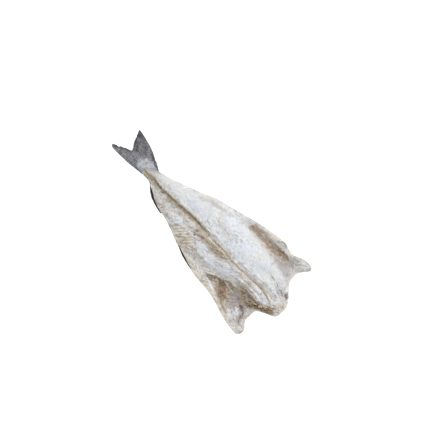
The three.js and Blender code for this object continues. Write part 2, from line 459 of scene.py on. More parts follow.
folds = (1 - left_side) * creased(x / 19, y / 11, 83) + left_side * creased(forward / 21, sideways / 9, 85)
puckers = (1 - left_side) * creased(x / 10, y / 5.6, 81)
puckers += left_side * creased(forward / 12, sideways / 4.6, 87)
fine = rough(x / 4.2, y / 2.8, 91)
lift += coarse + (0.35 + 0.7 * worked) * puckers + 0.9 * worked * folds + (0.22 + 0.42 * worked) * fine

# Blood-stained and torn places are rough all over.
torn = np.maximum(
    canvas.patch(10, [(322, -14), (345, -8), (380, 0), (430, 4), (446, -8), (436, -24), (400, -32),
                      (350, -34), (324, -32)]),
    canvas.patch(10, [(505, -34), (545, -33), (590, -30), (615, -18), (618, -30), (600, -46), (575, -52),
                      (545, -56), (512, -50)]),
)
lift += torn * (1.4 * rough(x / 6.5, y / 3.8, 101) + 0.6 * rough(x / 3.0, y / 2.4, 111))

# Thin and ragged at the tongue over the tail fin, and a little uneven all round the outline.
tongue = 1 - eased(x - 0.35 * np.abs(y + 5), 104, 132)
lift += 1.4 * tongue - 0.5 * tongue * (1 - eased(x, 104, 112))
inward = np.minimum(*((x - TONGUE_TIP[0]) * a + (y - TONGUE_TIP[1]) * b for a, b in TONGUE_CUTS))
thin = 1 - eased(inward, 1, 12)
canvas.z = canvas.z + FLESH_LIFT + up * lift * (0.35 + 0.65 * eased(x, 112, 160)) * (1 - 0.6 * thin)
canvas.x = x + 0.9 * rough(x / 22, y / 22, 121) + 2.6 * thin * rough(x / 7, y / 7, 123)
canvas.y = y + 0.9 * rough(x / 22, y / 22, 131) + 2.0 * thin * rough(x / 6, y / 6, 133)

# The right flap's end and the nape's shoulder stand a little further out than the solid's smoothed outline.
BULGES = [  # how far out, how softly, and where
    (6.5, 26, [(566, 34), (560, 70), (566, 98), (600, 100), (616, 70), (616, 34)]),
    (5.5, 14, [(580, 98), (584, 112), (592, 124), (600, 134), (616, 126), (612, 98)]),
    (2.5, 16, [(600, 30), (598, 50), (626, 50), (630, 30)]),
    (2.5, 26, [(600, -30), (600, 30), (650, 30), (650, -30)]),
]
for bulge, softness, outline in BULGES:
    canvas.x += bulge * canvas.patch(softness, outline, wobble=0)

# The three dorsal fins are pressed flat under the back, and the flesh over them is hollowed for them.
DORSAL_FINS = [(196, 282, 24), (330, 452, 30), (486, 566, 34)]  # from station, to station, height
DORSAL_ROOM = 1.5


def over_dorsal_fins(x, y, margin):
    """1 over the dorsal fins, fading to 0 round them."""
    lengthwise = sum(
        eased(x, start - 18 - margin, start) * (1 - eased(x, end, end + 10 + margin))
        for start, end, _ in DORSAL_FINS
    )
    left_limit = eased(y, -50 - margin, -30 - margin)
    return np.clip(lengthwise, 0, 1) * left_limit * (1 - eased(y, margin - 2, margin + 10))


canvas.z += DORSAL_ROOM * over_dorsal_fins(x, y, 14) * np.clip(-facing * 2, 0, 1)

# The two anal fins lie along the left edge, and the flesh there is cut back to them.
ANAL_CUT_BACK = 2.8
for start, end in ((152, 224), (312, 398)):
    beside = eased(x, start, start + 16) * (1 - eased(x, (start + 2 * end) / 3, end))
    edge_y = np.interp(x, [150, 170, 195, 220, 312, 350, 398], [-26, -38, -49, -58, -80, -91, -103])
    canvas.y = canvas.y + ANAL_CUT_BACK * beside * eased(edge_y + 14 - y, 0, 12)

# Colour zones, each a mask that the material mixes a colour in by.
# The groove's dark line, the white marks and the crest mask are partly painted shade and painted light.
STRIP_STAINS = [(421, 90), (434, 97), (444, 92), (453, 89), (478, 91), (468, 88), (497, 96), (486, 83),
                (512, 98)]
right_rim = canvas.patch(9, [(400, 108), (430, 108), (470, 109), (510, 111), (545, 110), (560, 118),
                             (510, 130), (450, 122), (404, 114)])
left_rim = canvas.patch(14, [(236, -56), (300, -70), (350, -82), (420, -96), (480, -102), (540, -122),
                             (584, -130), (570, -142), (480, -124), (400, -112), (330, -96),
                             (236, -70)])
canvas.paint("cool", patches=[
    (1.0, 20, 3, [(150, 8), (250, 10), (350, 10), (450, 12), (540, 14), (590, 14), (604, 30), (580, 58),
                  (530, 68), (460, 78), (400, 80), (345, 68), (280, 54), (230, 40), (180, 24)]),
    (1.0, 20, 3, [(345, -31), (400, -33), (450, -23), (486, -20), (490, -40), (456, -60), (412, -64),
                  (360, -54)]),
    (0.7, 8, 3, [(505, -12), (545, -8), (584, -14), (584, -30), (545, -28), (505, -26)]),
    (0.5, 18, 3, [(200, -20), (240, -18), (300, -22), (330, -36), (300, -44), (240, -42), (206, -34)]),
    (0.5, 18, 3, [(330, 74), (380, 84), (404, 96), (400, 104), (350, 90), (310, 74)]),
    (0.2, 18, 3, [(340, -66), (390, -66), (430, -78), (400, -96), (350, -84)]),
])
canvas.paint("cream", grit=0.5, strokes=[
    (0.8, 8, 0.3, [(a, b + 7) for a, b in GROOVE[2:]]),
    (0.8, 8, 0.3, [(116, -1), (128, 3), (142, 7), (160, 8)]),
    (0.5, 10, 0.3, [(150, 14), (180, 26), (215, 38)]),
    (1.0, 3.6, 0.3, RIGHT_CORD),
    (0.5, 3, 0.3, MIDDLE_CORD),
    (1.0, 3.4, 0.3, [(352, -10), (368, -11), (384, -9.5), (400, -12), (416, -10), (430, -6), (438, -11),
                     (446, -13)]),
    (0.6, 12, 0.3, [(622, -20), (628, -6), (628, 8), (620, 22)]),
    (0.9, 7, 0.3, [(a, b + 2) for a, b in LOIN_EDGE[:8]]),
    (0.7, 8, 0.3, RIGHT_COLLAR),
    (0.5, 7, 0.3, LEFT_COLLAR),
    (0.6, 6, 0.3, [(a, b + 2) for a, b in LEFT_FURROW]),
    (0.5, 9, 0.3, [(390, 3), (420, 6), (445, 2), (470, -2)]),
], patches=[
    (0.6, 12, 3, [(612, -34), (628, -30), (636, -10), (634, 12), (616, 14), (608, -4)]),
    (0.7, 16, 3, [(262, -58), (290, -46), (318, -40), (338, -50), (326, -64), (310, -76), (276, -70)]),
    (0.5, 14, 3, [(256, 46), (280, 53), (306, 60), (300, 70), (274, 66), (258, 56)]),
    (0.3, 14, 3, [(140, -12), (170, -15), (212, -20), (214, -40), (184, -36), (150, -22)]),
    (0.8, 7, 3, [(200, -38), (208, -38), (213, -44), (206, -48), (200, -44)]),
], masks=[
    (0.8, left_rim),
    (0.55, right_rim),
])
canvas.paint("brown", grit=0.5, strokes=[
    *((1.0, 9, 0.8, [(a - 6, b), (a, b + 2), (a + 6, b - 1)]) for a, b in STRIP_STAINS),
    (1.0, 6, 0.8, [(504, 102), (516, 103), (528, 103), (538, 104)]),
    (0.8, 6, 0.3, [(488, -100), (504, -106), (520, -112), (538, -116)]),
    (0.65, 10, 0.4, [(a, b - 5) for a, b in GROOVE[4:]]),
    (0.85, 12, 0.3, [(104, -9), (116, -10), (138, -11), (152, -13), (168, -17)]),
    (0.75, 8, 0.3, FAR_GROOVE[:8]),
    (0.7, 5, 0.3, FAR_GROOVE[6:]),
    (0.5, 5, 0.3, [(470, -20), (500, -22), (540, -20), (580, -22)]),
    (0.3, 9, 0.3, RIGHT_FURROW),
    (0.65, 5, 0.3, [(a, b - 3) for a, b in LEFT_FURROW]),
    (0.8, 5, 0.3, [(112, -12), (124, -16.5), (138, -18.5), (152, -22)]),
    (0.4, 8, 0.3, [(584, 52), (583, 70), (584, 88), (582, 100)]),
    (0.5, 5, 0.3, [(566, 30), (584, 27), (598, 22)]),
], patches=[
    (0.8, 14, 5, STRIP),
    (0.35, 20, 5, [(404, 84), (440, 106), (540, 108), (562, 92), (540, 72), (450, 74)]),
    (0.5, 14, 5, [(500, 84), (520, 84), (548, 90), (550, 102), (520, 104), (502, 98)]),
    (1.0, 12, 4, [(428, -83), (444, -71), (462, -64), (478, -57), (492, -54), (508, -62), (510, -82),
                  (504, -102), (480, -98), (462, -92), (446, -88)]),
    (0.5, 16, 4, CAVITY),
    (0.85, 16, 4, [(492, -38), (520, -32), (560, -31), (592, -30), (602, -40), (584, -54), (562, -70),
                   (542, -68), (526, -56), (508, -46)]),
    (0.75, 18, 5, [(322, -12), (380, -12), (436, -12), (444, -20), (410, -28), (350, -30), (320, -26)]),
    (0.9, 12, 3, [(382, -12), (424, -11), (430, -22), (404, -29), (384, -26)]),
    (0.35, 12, 3, [(262, 44), (290, 50), (330, 61), (347, 68), (338, 75), (300, 67), (264, 56)]),
    (0.8, 12, 3, [(588, -34), (604, -24), (620, -22), (624, -34), (606, -46), (588, -46)]),
    (0.35, 10, 4, [(430, -96), (450, -98), (470, -101), (470, -108), (446, -106), (428, -102)]),
    (0.42, 14, 6, [(608, -26), (622, -28), (634, -12), (632, 10), (622, 14), (612, -4)]),
], masks=[
    (0.7, fan_left * np.clip(1.3 - np.abs(np.sin(np.pi * bars)) * 1.6, 0, 1)),
])
canvas.paint("rust", grit=0.5, strokes=[
    (0.8, 7, 0.3, [(473, -60), (477, -72), (486, -80), (492, -91), (501, -101), (509, -107)]),
    (1.0, 13, 0.3, [(570, -49), (582, -44), (593, -38), (604, -30), (614, -19)]),
    (0.6, 5, 0.3, [(334, 1), (341, -2), (348, -5)]),
    (0.6, 5, 0.3, [(606, 35), (611, 29), (614, 23)]),
    (0.5, 6, 0.3, [(418, 92), (436, 94), (448, 92)]),
    (0.6, 6, 0.3, [(508, 102), (520, 103), (534, 103)]),
    (0.55, 10, 0.5, [(512, 97), (524, 96), (536, 97)]),
    (0.35, 12, 0.6, [(470, 98), (486, 96), (504, 96)]),
    (0.5, 12, 0.6, [(418, 94), (436, 93), (456, 92), (474, 91)]),
    (0.75, 5, 0.3, [(536, 104), (542, 103), (549, 102)]),
    (0.45, 7, 0.3, [(430, 98), (440, 93), (452, 88)]),
    (0.4, 4, 0.3, [(348, -6), (372, -8), (396, -7), (418, -8)]),
    (0.4, 6, 0.3, [(500, -101), (514, -107), (530, -113)]),
    (0.45, 5, 0.3, [(398, -18), (408, -14), (420, -16)]),
    (0.35, 5, 0.3, [(334, -22), (344, -25), (354, -22)]),
], masks=[
    (1.0, canvas.patch(10, [(462, -68), (476, -59), (488, -66), (500, -82), (512, -105), (498, -105),
                            (482, -92), (468, -80)]) * (0.35 + 0.65 * streaks)),
])
canvas.paint("mauve", grit=0.5, patches=[
    (0.75, 18, 4, [(500, 78), (545, 66), (574, 60), (584, 72), (576, 92), (568, 102), (554, 102), (546, 88),
                   (520, 82)]),
    (0.8, 14, 4, [(504, -58), (520, -50), (540, -62), (556, -74), (574, -82), (580, -112), (560, -116),
                  (540, -106), (516, -98), (506, -88)]),
    (0.7, 12, 3, [(320, -18), (345, -16), (352, -26), (332, -31), (318, -26)]),
    (0.6, 14, 3, [(384, -14), (420, -14), (436, -22), (410, -32), (386, -28)]),
    (0.4, 12, 3, [(530, -104), (552, -104), (574, -112), (578, -120), (556, -120), (534, -114)]),
    (0.42, 22, 3, [(332, 28), (372, 18), (412, 20), (414, 42), (370, 52), (338, 48)]),
    (0.38, 26, 6, [(480, 34), (520, 56), (560, 62), (586, 62), (592, 38), (560, 24), (510, 22)]),
    (0.6, 12, 3, [(574, 24), (600, 14), (612, 26), (604, 38), (586, 36)]),
    (0.4, 12, 3, [(346, 66), (360, 64), (366, 72), (354, 78)]),
    (0.4, 12, 3, [(146, -12), (164, -12), (168, -20), (152, -22)]),
])
canvas.paint("dark", grit=0.5, strokes=[
    (0.7, 5, 0.3, [(464, -66), (469, -73), (475, -80)]),
    (0.55, 5, 0.6, [(480, -78), (490, -88), (496, -97), (506, -106)]),
    (0.4, 4, 0.6, [(472, -82), (482, -92), (492, -100)]),
    (0.45, 4, 0.8, [(512, -62), (520, -74), (524, -86)]),
    (0.45, 4, 0.8, [(528, -60), (536, -72), (538, -84)]),
    (0.6, 4, 0.8, [(500, -50), (516, -44), (530, -44)]),
    (0.5, 4, 0.8, [(542, -54), (552, -62), (560, -68)]),
    (0.6, 4, 0.8, [(570, -38), (584, -40), (594, -36)]),
    (0.8, 5, 0.3, [(428, -83), (438, -84), (450, -85)]),
    # Dark brown along the groove: partly its own stain, partly painted shade under the groove's right lip.
    (0.6, 4.4, 0.4, [(138, -4), (150, -6.5), (166, -10.5), (188, -9.8), (210, -8.6), (236, -7.6)]),
    (0.45, 3.6, 0.6, [(290, -3), (304, -2.5), (318, -2.5), (330, -4)]),
    (0.6, 3.5, 0.3, [(430, -82), (438, -76), (447, -71)]),
    (1.0, 11, 0.4, [(546, -79), (555, -79), (563, -81)]),
    (0.8, 6, 0.9, [(563, -81), (567, -83), (569, -88)]),
    (0.55, 4, 1.2, [(567, -92), (572, -97), (571, -103)]),
    (0.55, 3.5, 1.2, [(572, -104), (577, -110), (581, -118)]),
    (0.7, 4, 0.6, [(543, -46), (552, -38), (564, -35)]),
    (0.6, 5, 0.8, [(522, -38), (536, -35), (546, -37)]),
    (0.9, 8, 0.6, [(571, -50), (584, -45), (597, -38), (609, -28)]),
    (1.0, 8, 0.6, [(607, 40), (612, 34), (617, 28), (620, 20)]),
    (0.6, 4, 0.8, [(590, 32), (600, 28), (608, 24)]),
    (0.5, 4, 0.8, [(590, 12), (596, 9), (601, 5)]),
    (0.5, 5, 0.9, [(610, -13), (615, -11), (620, -12)]),
    (0.45, 4, 0.9, [(619, -26), (625, -20), (630, -14)]),
    (0.45, 4, 0.9, [(622, 14), (628, 6), (630, -4)]),
    (0.65, 2.6, 0.3, [(530, 42), (552, 38), (574, 34), (592, 27), (606, 21)]),
    (0.6, 3.4, 0.3, [(562, 112), (568, 112), (576, 117)]),
    (0.4, 5, 0.3, [(558, 103), (567, 102), (573, 94)]),
    (0.45, 4, 0.8, [(440, 92), (450, 88), (458, 86)]),
    (0.45, 4, 0.8, [(470, 90), (478, 91), (486, 90)]),
    (0.5, 3.5, 0.8, [(494, 98), (498, 95), (502, 92)]),
    (0.6, 3.5, 0.8, [(516, 103), (524, 102), (532, 104)]),
    (0.55, 3, 0.8, [(538, 104), (542, 103), (546, 102)]),
    (0.4, 3.5, 0.8, [(453, 108), (459, 109), (466, 109)]),
    (0.4, 2.5, 0.8, [(482, 108), (490, 110), (498, 109)]),
    (0.45, 4, 0.8, [(504, 78), (508, 77), (512, 76)]),
    (0.4, 4, 0.8, [(562, 72), (566, 71), (570, 72)]),
    (0.6, 5, 0.9, [(394, -19), (402, -18), (410, -17)]),
    (0.6, 5, 0.9, [(394, -26), (401, -25), (408, -25)]),
    (0.5, 5, 0.9, [(378, -22), (386, -21), (392, -22)]),
    (0.6, 6, 0.9, [(343, -20), (350, -21), (356, -19)]),
    (0.6, 6, 0.9, [(320, -29), (326, -30), (332, -28)]),
    (0.5, 4, 0.9, [(340, -26), (346, -25), (351, -26)]),
    (0.4, 3, 0.3, [(112, -17.5), (126, -18.5), (140, -19.5), (152, -24)]),
    (0.6, 3, 0.5, [(373, -27), (376, -27), (379, -26)]),
    (0.6, 3.5, 0.5, [(425, 2), (430, 3), (436, 0)]),
    (0.5, 3.5, 0.5, [(441, -10), (445, -12), (450, -10)]),
    # The dark end of the groove's line, partly painted shade.
    (0.7, 3.5, 0.4, [(353, -4), (356, -6), (357, -12)]),
    (0.75, 5, 0.3, [(500, 121), (511, 124), (522, 120)]),
    (0.6, 4, 0.3, [(596, -45), (604, -45), (610, -42)]),
    (0.5, 3, 0.3, [(588, 11), (597, 6)]),
    (0.4, 3, 0.3, [(352, 24), (362, 20)]),
    (0.4, 3, 0.3, [(344, 42), (350, 38)]),
    (0.45, 3, 0.3, [(400, 30), (408, 25)]),
    (0.5, 2.6, 0.3, [(315, -74), (326, -67), (334, -62)]),
], patches=[
    (0.6, 8, 3, [(458, -66), (476, -58), (484, -62), (478, -70), (462, -72)]),
    (0.5, 12, 5, [(460, -68), (476, -60), (490, -72), (502, -98), (488, -98), (468, -82)]),
])
# A dark olive line in the groove and the far groove, under the loin's edge and along a furrow: partly the
# dark stain left by the backbone, partly painted shade where the wall under the groove's right lip lies in
# shadow.
canvas.paint("groove", grit=0.5, strokes=[
    (1.0, 6.8, 0.35, [(a, b - 0.2) for a, b in GROOVE[1:]]),
    (1.0, 9, 0.35, [(a, b - 0.5) for a, b in GROOVE[3:8]]),
    (0.5, 3.6, 0.6, FAR_GROOVE),
    (0.55, 3, 0.6, [(500, -22), (520, -20), (545, -19.5), (578, -22)]),
    (0.85, 4.4, 0.5, [(a + 1, b - 4) for a, b in LOIN_EDGE[:8]]),
])
# White marks: salt bloom and pale spots, a painted highlight along the ridge of the left flap's rim, and
# painted light on slopes that turn away from the lamp, beside the grooves and on the left loin.
canvas.paint("whitening", strokes=[
    (0.7, 14, 0.5, [(574, 112), (588, 120), (604, 126)]),
    (0.4, 10, 0.5, [(585, 104), (592, 114), (602, 120)]),
    (0.45, 11, 0.6, [(552, 112), (566, 117), (582, 122)]),
    # A painted highlight along the ridge of the left flap's rim.
    (0.9, 6, 0.3, [(434, -88), (444, -91), (456, -95), (468, -99)]),
    (0.55, 6, 0.3, [(470, -60), (484, -62), (500, -64), (512, -66)]),
    (0.6, 13, 0.6, [(530, -106), (548, -111), (566, -111)]),
    (0.4, 6, 0.3, [(444, -82), (458, -86), (468, -92)]),
    (0.6, 3.4, 0.3, LEFT_CORD[1:]),
    (0.4, 4, 0.3, [(500, -88), (516, -80), (528, -88)]),
    (0.6, 5, 0.6, [(468, 85), (475, 84), (482, 85)]),
    (0.5, 5, 0.6, [(452, 98), (458, 97), (464, 96)]),
    (0.35, 4, 0.6, [(518, 98), (524, 98.5), (529, 97)]),
    (0.7, 5, 0.6, [(520, 110), (529, 110), (537, 109)]),
    (0.7, 3.5, 0.4, [(556, 109), (566, 108), (574, 99), (583, 90)]),
    (0.6, 4, 0.4, [(566, 106), (580, 116), (592, 126)]),
    (0.6, 5, 0.6, [(322, -24), (328, -23), (334, -20)]),
    (0.6, 7, 0.6, [(340, -38), (352, -36), (362, -34)]),
    # Painted light on the slopes beside the far groove that turn away from the lamp.
    (0.45, 7, 0.4, [(a, b + 7) for a, b in FAR_GROOVE[:10]]),
    (0.85, 13, 0.5, [(a, b + 16) for a, b in FAR_GROOVE[:9]]),
    # Painted light on the slopes beside the groove that turn away from the lamp.
    (0.5, 10, 0.5, [(a, b + 11) for a, b in GROOVE[5:]]),
    # A pale line along the right cord.
    (0.5, 5, 0.4, [(500, 2), (530, 5), (560, 3), (585, -6)]),
    # More painted light on the slope beside the groove.
    (0.4, 8, 0.4, [(a, b + 9) for a, b in GROOVE[4:]]),
], patches=[
    (0.62, 18, 5, [(534, -94), (543, -83), (556, -84), (563, -94), (558, -107), (543, -106)]),
    (0.8, 9, 3, [(596, 12), (606, 14), (614, 6), (604, -4)]),
    (0.3, 14, 5, [(524, 84), (540, 86), (548, 94), (540, 98), (526, 96)]),
    # Painted light on the left loin's slopes, which turn away from the lamp.
    (0.5, 18, 5, [(356, -34), (400, -36), (450, -34), (470, -40), (440, -54), (390, -50), (352, -46)]),
    (0.9, 22, 5, [(404, -36), (440, -32), (470, -36), (456, -56), (414, -58)]),
    (0.4, 20, 5, [(190, -20), (240, -18), (300, -24), (310, -38), (250, -42), (200, -36)]),
])
# The crest mask is high on the crests of the puckers and folds and low in their hollows. The material
# lightens the colour on the crests and darkens it in the hollows by it: painted light and shade on the
# relief.
crest = 0.5 + 0.3 * (puckers - 0.35) + 0.32 * (folds - 0.35) + 0.2 * fine
canvas.paint("tongue", masks=[(1.0, thin * np.maximum(eased(y, -14, 2), 1 - eased(x, 107, 122)))])
canvas.paint("worked", masks=[(1.0, worked)])
canvas.paint("crest", masks=[(1.0, crest)])
canvas.paint("left", masks=[(1.0, left_side)])
canvas.reshape()
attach(flesh, "root")
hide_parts("salted_cod")


class Wire:
    """A shader value. Arithmetic on it adds Math nodes, and node() adds a node of any other kind."""

    def __init__(self, tree, socket):
        self.tree, self.socket = tree, socket

    def node(self, kind, settings, sockets, output=0):
        made = self.tree.nodes.new("ShaderNode" + kind)
        for name, value in settings.items():
            setattr(made, name, value)
        for name, value in sockets.items():
            if isinstance(value, Wire):
                self.tree.links.new(value.socket, made.inputs[name])
            else:
                made.inputs[name].default_value = value
        return Wire(self.tree, made.outputs[output])

    def math(self, operation, a, b):
        return self.node("Math", {"operation": operation}, {0: a, 1: b})

    def __add__(self, other):
        return self.math("ADD", self, other)

    def __sub__(self, other):
        return self.math("SUBTRACT", self, other)

    def __rsub__(self, other):
        return self.math("SUBTRACT", other, self)

    def __mul__(self, other):
        return self.math("MULTIPLY", self, other)

    __radd__, __rmul__ = __add__, __mul__

    def between(self, start, end):
        """0 below start and 1 above end, eased."""
        return self.node("MapRange", {"interpolation_type": "SMOOTHSTEP"}, {0: self, 1: start, 2: end})

    def mix(self, colour, other):
        """The first colour where this is 0 and the other where it is 1."""
        return self.node("Mix", {"data_type": "RGBA"}, {0: self, 6: colour, 7: other}, output=2)

    def noise(self, scale, detail=4, roughness=0.55, distortion=0.0):
        """Noise on these coordinates, with `scale` cells in a metre."""
        sockets = {"Vector": self, "Scale": scale, "Detail": detail, "Roughness": roughness,
                   "Distortion": distortion}
        return self.node("TexNoise", {}, sockets)

    def stretched(self, turn, along, across):
        """These coordinates, turned about the upright and then squeezed along and across."""
        sockets = {"Vector": self, "Rotation": (0, 0, math.radians(turn)), "Scale": (along, across, across)}
        return self.node("Mapping", {"vector_type": "POINT"}, sockets)

    def mask(self, name):
        """A mask painted on the mesh."""
        return self.node("Attribute", {"attribute_name": name}, {}, output="Fac")


def srgb(red, green, blue):
    """A colour given in the usual 0 to 255 steps, as the shader wants it."""
    return (*(((c / 255 + 0.055) / 1.055) ** 2.4 for c in (red, green, blue)), 1.0)


def new_material(name):
    """An empty material, and the piece's own coordinates in it."""
    material = bpy.data.materials.new(name)
    material.use_nodes = True
    material.node_tree.nodes.clear()
    return material, Wire(material.node_tree, None).node("TexCoord", {}, {}, output="Object")


def finish(material, colour, roughness, height, depth, **constants):
    """Joins a material's colour, roughness and bump height, `depth` metres deep, to its surface."""
    tree = material.node_tree
    bump = height.node("Bump", {}, {"Height": height, "Distance": depth, "Strength": 1.0})
    sockets = {"Base Color": colour, "Roughness": roughness, "Normal": bump}
    sockets.update({name.replace("_", " "): value for name, value in constants.items()})
    surface = height.node("BsdfPrincipled", {}, sockets)
    tree.links.new(surface.socket, tree.nodes.new("ShaderNodeOutputMaterial").inputs["Surface"])


def flesh_material():
    material, place = new_material("dried cod flesh")
    clouds = place.stretched(0, 0.7, 1.2).noise(36, 4, 0.6)
    mottle = place.noise(95, 4, 0.62, 0.6)
    speckle = place.noise(240, 3, 0.6)
    fibre = place.stretched(8, 0.22, 1.0).noise(620, 3, 0.6)
    left, worked, crest = place.mask("left"), place.mask("worked"), place.mask("crest")
    # Through the crest mask the colours are darker in the hollows of the puckers and folds and lighter on
    # their crests: painted shade and painted light.
    broken = mottle * 0.45 + speckle * 0.3 + (crest - 0.5) * 0.3 + 0.125

    def worn(name, reach=1.0):
        """A painted mask with its edge broken up by the flesh's own mottling."""
        mask = place.mask(name)
        edge = mask * 1.35 - 0.2 + (broken - 0.5) * 2.2 * reach
        return edge.between(0.12, 0.95) * mask.between(0.03, 0.3)

    tone = 0.6 + (broken + (fibre - 0.5) * 0.25 - 0.5) * (worked * 2.6 + 1.6)
    grey = tone.between(0.0, 1.0).mix(srgb(170, 164, 156), srgb(226, 225, 223))
    tint = place.stretched(20, 0.6, 1.1).noise(30, 3, 0.6).between(0.4, 0.6)
    shaded = tint.mix(srgb(194, 198, 204), srgb(198, 199, 196))
    white = tone.between(0.0, 1.0).mix(shaded, tint.mix(srgb(235, 239, 247), srgb(240, 241, 242)))
    coolness = place.mask("cool") * 1.1 + (clouds - 0.5) * 1.2 + (broken - 0.5) * 0.8
    colour = coolness.between(0.05, 0.85).mix(grey, white)
    warmth = place.noise(48, 3, 0.6).between(0.5, 0.62) * (left * 0.3 + 0.05)
    colour = warmth.mix(colour, srgb(196, 180, 156))
    flush = place.stretched(30, 1.0, 1.3).noise(42, 3, 0.6).between(0.52, 0.64) * (left * 0.3 + 0.04)
    colour = flush.mix(colour, srgb(190, 168, 166))
    cream = tone.between(0.1, 0.9).mix(srgb(192, 183, 160), srgb(236, 229, 213))
    colour = (worn("cream") * 0.85).mix(colour, cream)
    mauve = tone.between(0.2, 0.9).mix(srgb(136, 127, 130), srgb(192, 188, 192))
    colour = (worn("mauve") * 0.85).mix(colour, mauve)
    brown = (tone * 0.8 + (fibre - 0.5) * 0.8).between(0.15, 0.75).mix(srgb(114, 91, 68), srgb(184, 167, 145))
    colour = (worn("brown") * 0.9).mix(colour, brown)
    rust = (tone * 0.5 + fibre * 0.5).between(0.35, 0.7).mix(srgb(112, 80, 54), srgb(172, 140, 108))
    colour = (worn("rust") * 0.75).mix(colour, rust)
    # Olive for the groove mask, which is partly painted shade in the groove.
    olive = tone.between(0.2, 0.9).mix(srgb(104, 90, 62), srgb(162, 149, 120))
    colour = (worn("groove", 0.5) * 0.85).mix(colour, olive)
    dark = tone.between(0.2, 0.9).mix(srgb(66, 54, 48), srgb(112, 98, 86))
    colour = (worn("dark") * 0.85).mix(colour, dark)
    # Near white for the white marks: salt bloom and pale spots, and the painted highlight and painted light
    # that this mask holds.
    whitening = tone.between(0.1, 0.9).mix(srgb(208, 208, 210), srgb(240, 242, 246))
    colour = (worn("whitening") * 0.85).mix(colour, whitening)
    colour = (worn("tongue") * 0.8).mix(colour, srgb(172, 175, 180))
    grain = speckle * 0.8 + fibre * 0.5 + mottle * 1.5
    roughness = 0.62 + (speckle - 0.5) * 0.3
    finish(material, colour, roughness, grain, 0.0022, Specular_IOR_Level=0.35)
    return material


flesh.data.materials.append(flesh_material())
flesh.data.shade_smooth()

# ---- The tail fin -------------------------------------------------------------------------------
# A forked fin of soft rays in a thin dried membrane. It grows out of the stalk under the flesh's tongue, its
# right lobe stands well out and its left one is folded along the fish in pleats. It is made from a thin grid,
# drawn out along the rays.

FIN_ROOT = 152
RIGHT_LEAD = [(152, 12), (141, 16.5), (130, 21.5), (115, 30), (100, 38), (80, 46), (60, 51), (42, 55),
              (26.5, 57.5)]
LEFT_LEAD = [(152, -19), (138, -19), (120, -19.5), (100, -22), (70, -26), (40, -27.5), (18, -28), (8, -27),
             (3, -23)]
TRAILING = [(3, -23), (5, -19.5), (12, -16), (21, -14.5), (20, -12), (30, -7.5), (40, -2.5), (48, 0.5),
            (52.5, 3.5), (49, 11), (43.5, 20), (38, 31), (33, 43), (26.5, 57.5)]
FIN_RAYS = 36
FIN_STEPS = (216, 110)  # across the rays and along them
FIN_THICKNESS = 1.1
FIN_DEPTH = 1.3  # under the solid's top
ROOT_DEPTH = 2.2  # more than that, under the flesh's tongue
ROOT_OVER_SKIN = 0.9
FIN_LOWEST = 1.0  # the lowest that the middle of its thickness may lie


def grid_piece(name, steps):
    """A flat grid with a share across (0 to 1) and a share along (0 to 1) for each of its vertices."""
    bpy.ops.object.select_all(action="DESELECT")
    bpy.ops.mesh.primitive_grid_add(x_subdivisions=steps[0], y_subdivisions=steps[1], size=1)
    piece = bpy.context.object
    piece.name = piece.data.name = name
    places = of_vertices(piece.data, "co")
    return piece, places[:, 0] + 0.5, places[:, 1] + 0.5


def surface_of(piece):
    """A piece's surface, for rays to be sent at."""
    mesh = piece.data
    return BVHTree.FromPolygons([v.co for v in mesh.vertices], [f.vertices for f in mesh.polygons])


def met_height(surface, x, y, towards):
    """The height where rays straight up (1) or down (-1) meet a surface, or that of its nearest point."""
    heights = []
    for point in to_frame(x, y, np.full(len(x), -60.0 * towards)):
        met = surface.ray_cast(Vector(point), Vector((0, 0, towards)))[0]
        if met is None:
            met = surface.find_nearest(Vector((point[0], point[1], 0.01)))[0]
        heights.append(met.z / MM)
    return np.array(heights)


solid_surface = surface_of(frame["nodes"]["salted_cod"])


def thicken(piece, thickness, offset, weights=None):
    """Gives a sheet its thickness, less where its weights are low."""
    solidify = piece.modifiers.new("thickness", "SOLIDIFY")
    solidify.thickness = thickness * MM
    solidify.offset = offset
    if weights is not None:
        group = piece.vertex_groups.new(name="thick")
        for index, weight in enumerate(weights):
            group.add([index], float(weight), "REPLACE")
        solidify.vertex_group = "thick"
    bpy.context.view_layer.objects.active = piece
    bpy.ops.object.modifier_apply(modifier=solidify.name)
    piece.vertex_groups.clear()
    piece.data.shade_smooth()


def fin_edges(t):
    """The leading edges' left x, left y, right x and right y, at a share of the way from root to tips."""
    left, right = smooth_line(LEFT_LEAD), smooth_line(RIGHT_LEAD)
    left_x = FIN_ROOT + t * (left[-1, 0] - FIN_ROOT)
    right_x = FIN_ROOT + t * (right[-1, 0] - FIN_ROOT)
    left_y = np.interp(-left_x, -left[:, 0], left[:, 1])
    right_y = np.interp(-right_x, -right[:, 0], right[:, 1])
    return left_x, left_y, right_x, right_y


def ray_lengths(share):
    """How far along the fin each ray reaches before the trailing edge cuts it off."""
    edge = smooth_line(TRAILING, 5)
    s, t = np.full(len(edge), 0.5), np.full(len(edge), 0.8)
    for _ in range(30):
        left_x, left_y, right_x, right_y = fin_edges(t)
        s = np.clip((edge[:, 1] - left_y) / (right_y - left_y), 0, 1)
        full = (1 - s) * (FIN_ROOT - LEFT_LEAD[-1][0]) + s * (FIN_ROOT - RIGHT_LEAD[-1][0])
        t = np.clip((FIN_ROOT - edge[:, 0]) / full, 0.3, 1.05)
    order = np.argsort(s)
    return np.interp(share, s[order], t[order])


